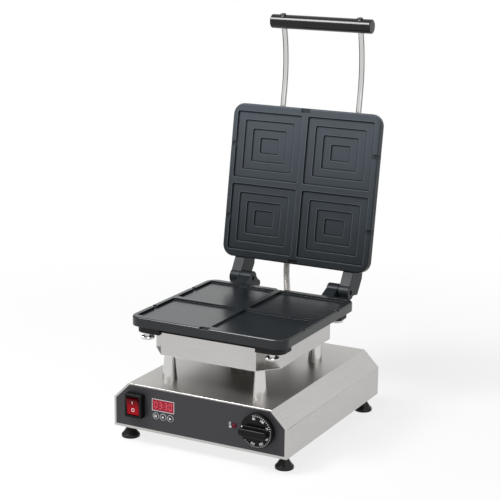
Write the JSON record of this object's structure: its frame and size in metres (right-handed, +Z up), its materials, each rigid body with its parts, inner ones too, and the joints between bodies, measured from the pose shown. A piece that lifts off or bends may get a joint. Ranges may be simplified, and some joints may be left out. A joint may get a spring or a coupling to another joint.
{
  "type": "waffle cone maker",
  "caption": "Countertop contact waffle iron: steel base with dial, timer and rocker switch, fixed lower plate and hinged upper plate with bar handle, shown open.",
  "frame": {"origin": "on the table, under the middle of the open machine's bounding box", "axes": "+X to the operator's right, +Y from the control panel to the back, +Z up"},
  "size_m": [0.32, 0.4758, 0.6777],
  "materials": {
    "stainless_sheet": "satin",
    "panel_charcoal": "satin",
    "nonstick_plate": "satin dark non-stick coating",
    "heater_dark": "matte black cast",
    "hinge_casting": "satin dark cast",
    "element_sheath": "matte oxidised",
    "polished_steel": "polished",
    "foot_rubber": "matte",
    "black_plastic": "gloss",
    "red_translucent": "gloss",
    "display_red": "gloss",
    "button_charcoal": "satin",
    "conduit_metal": "satin ribbed",
    "gland_metal": "satin",
    "gland_plastic": "matte",
    "inner_plastic": "matte"
  },
  "bodies": {
    "base": {"base_floor": "stainless_sheet", "base_housing": "stainless_sheet", "cable_column": "stainless_sheet", "conduit_gland_base": "gland_metal", "control_panel": "panel_charcoal", "display_window": "display_red", "flex_conduit": "conduit_metal", "foot_stud_front_left": "polished_steel", "foot_stud_front_right": "polished_steel", "foot_stud_rear_left": "polished_steel", "foot_stud_rear_right": "polished_steel", "hinge_lug_left": "hinge_casting", "hinge_lug_right": "hinge_casting", "hinge_pin_left": "polished_steel", "hinge_pin_right": "polished_steel", "indicator_lamp": "red_translucent", "lower_baking_plate": "nonstick_plate", "lower_heater_plate": "heater_dark", "lower_heating_element": "element_sheath", "lower_tray": "stainless_sheet", "mains_gland": "gland_plastic", "rear_panel": "stainless_sheet", "rubber_foot_front_left": "foot_rubber", "rubber_foot_front_right": "foot_rubber", "rubber_foot_rear_left": "foot_rubber", "rubber_foot_rear_right": "foot_rubber", "support_pillar_front_left": "polished_steel", "support_pillar_front_right": "polished_steel", "support_pillar_rear_left": "polished_steel", "support_pillar_rear_right": "polished_steel", "switch_housing": "black_plastic", "terminal_block": "inner_plastic", "thermostat_body": "inner_plastic", "timer_module": "inner_plastic"},
    "lid": {"upper_baking_plate": "nonstick_plate", "upper_heater_plate": "heater_dark", "upper_heating_element": "element_sheath", "upper_casing": "stainless_sheet", "hinge_arm_left": "hinge_casting", "hinge_arm_right": "hinge_casting", "handle_rod_left": "polished_steel", "handle_rod_right": "polished_steel", "grip_cap_left": "black_plastic", "grip_cap_right": "black_plastic", "handle_grip": "black_plastic", "conduit_gland_lid": "gland_metal"},
    "knob": {"thermostat_knob": "black_plastic", "knob_shaft": "polished_steel"},
    "rocker": {"switch_rocker": "red_translucent"},
    "button_set": {"timer_button_set": "button_charcoal"},
    "button_up": {"timer_button_up": "button_charcoal"},
    "button_down": {"timer_button_down": "button_charcoal"},
    "lower_screw_front_left": {"lower_thumb_screw_front_left": "polished_steel"},
    "lower_screw_front_right": {"lower_thumb_screw_front_right": "polished_steel"},
    "lower_screw_rear_left": {"lower_thumb_screw_rear_left": "polished_steel"},
    "lower_screw_rear_right": {"lower_thumb_screw_rear_right": "polished_steel"},
    "upper_screw_front_left": {"upper_thumb_screw_front_left": "polished_steel"},
    "upper_screw_front_right": {"upper_thumb_screw_front_right": "polished_steel"},
    "upper_screw_rear_left": {"upper_thumb_screw_rear_left": "polished_steel"},
    "upper_screw_rear_right": {"upper_thumb_screw_rear_right": "polished_steel"}
  },
  "joints": [
    {"name": "lid_hinge", "type": "hinge", "parent": "base", "child": "lid", "pos_m": [0, 0.116, 0.2125], "axis": [1, 0, 0], "range_deg": [0, 99], "deforming": ["flex_conduit"]},
    {"name": "knob_turn", "type": "hinge", "parent": "base", "child": "knob", "pos_m": [0.111, -0.22, 0.067], "axis": [0, 1, 0], "range_deg": [0, 280]},
    {"name": "switch_rock", "type": "hinge", "parent": "base", "child": "rocker", "pos_m": [-0.116, -0.218, 0.069], "axis": [1, 0, 0], "range_deg": [-16, 0]},
    {"name": "button_set_press", "type": "slide", "parent": "base", "child": "button_set", "axis": [0, 1, 0], "range_m": [0, 0.0008], "stiffness_N_per_m": 1500},
    {"name": "button_up_press", "type": "slide", "parent": "base", "child": "button_up", "axis": [0, 1, 0], "range_m": [0, 0.0008], "stiffness_N_per_m": 1500},
    {"name": "button_down_press", "type": "slide", "parent": "base", "child": "button_down", "axis": [0, 1, 0], "range_m": [0, 0.0008], "stiffness_N_per_m": 1500},
    {"name": "lower_screw_turn_front_left", "type": "hinge", "parent": "base", "child": "lower_screw_front_left", "pos_m": [-0.115, -0.178, 0.184], "axis": [0, 0, 1], "continuous": true},
    {"name": "lower_screw_turn_front_right", "type": "hinge", "parent": "base", "child": "lower_screw_front_right", "pos_m": [0.115, -0.178, 0.184], "axis": [0, 0, 1], "continuous": true},
    {"name": "lower_screw_turn_rear_left", "type": "hinge", "parent": "base", "child": "lower_screw_rear_left", "pos_m": [-0.115, 0.064, 0.184], "axis": [0, 0, 1], "continuous": true},
    {"name": "lower_screw_turn_rear_right", "type": "hinge", "parent": "base", "child": "lower_screw_rear_right", "pos_m": [0.115, 0.064, 0.184], "axis": [0, 0, 1], "continuous": true},
    {"name": "upper_screw_turn_front_left", "type": "hinge", "parent": "lid", "child": "upper_screw_front_left", "pos_m": [-0.115, 0.19014, 0.49842], "axis": [0, 0.9877, -0.1564], "continuous": true},
    {"name": "upper_screw_turn_front_right", "type": "hinge", "parent": "lid", "child": "upper_screw_front_right", "pos_m": [0.115, 0.19014, 0.49842], "axis": [0, 0.9877, -0.1564], "continuous": true},
    {"name": "upper_screw_turn_rear_left", "type": "hinge", "parent": "lid", "child": "upper_screw_rear_left", "pos_m": [-0.115, 0.15228, 0.2594], "axis": [0, 0.9877, -0.1564], "continuous": true},
    {"name": "upper_screw_turn_rear_right", "type": "hinge", "parent": "lid", "child": "upper_screw_rear_right", "pos_m": [0.115, 0.15228, 0.2594], "axis": [0, 0.9877, -0.1564], "continuous": true}
  ]
}
